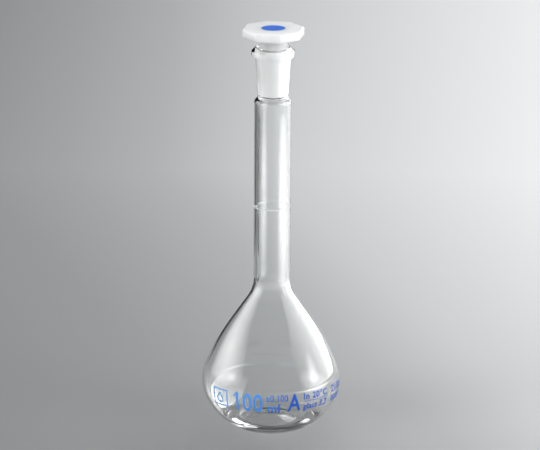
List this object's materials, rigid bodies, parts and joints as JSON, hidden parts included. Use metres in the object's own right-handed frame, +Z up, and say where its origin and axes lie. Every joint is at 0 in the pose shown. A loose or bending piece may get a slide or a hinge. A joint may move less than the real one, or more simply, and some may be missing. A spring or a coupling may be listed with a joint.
{
  "type": "volumetric flask",
  "caption": "Pear-shaped glass flask with a long narrow neck, one filling ring, printed capacity marks and a lift-out eight-sided plastic stopper.",
  "frame": {"origin": "middle of the base, on the surface that the flask stands on", "axes": "+Z up along the flask's axis, from the base to the stopper; -Y towards the printed capacity figures"},
  "size_m": [0.0602, 0.0603, 0.1783],
  "materials": {
    "clear_glass": "polished clear borosilicate; the socket is ground to a frosted white",
    "white_enamel": "thin fired line",
    "blue_enamel": "thin fired print, slightly satin",
    "natural_polyethylene": "translucent natural white, soft satin",
    "blue_plastic": "moulded, satin"
  },
  "bodies": {
    "flask": {"flask_body": "clear_glass", "ring_mark": "white_enamel", "capacity_mark": "blue_enamel", "tolerance_mark": "blue_enamel", "unit_mark": "blue_enamel", "class_mark": "blue_enamel", "temperature_mark": "blue_enamel", "divider_line": "blue_enamel", "glass_type_mark": "blue_enamel", "batch_mark_upper": "blue_enamel", "batch_mark_lower": "blue_enamel", "emblem_frame": "blue_enamel", "emblem_drop": "blue_enamel"},
    "stopper": {"stopper": "natural_polyethylene", "size_disc": "blue_plastic"}
  },
  "joints": [
    {"name": "stopper_lift", "type": "slide", "parent": "flask", "child": "stopper", "axis": [0, 0, 1], "range_m": [0, 0.035]}
  ]
}
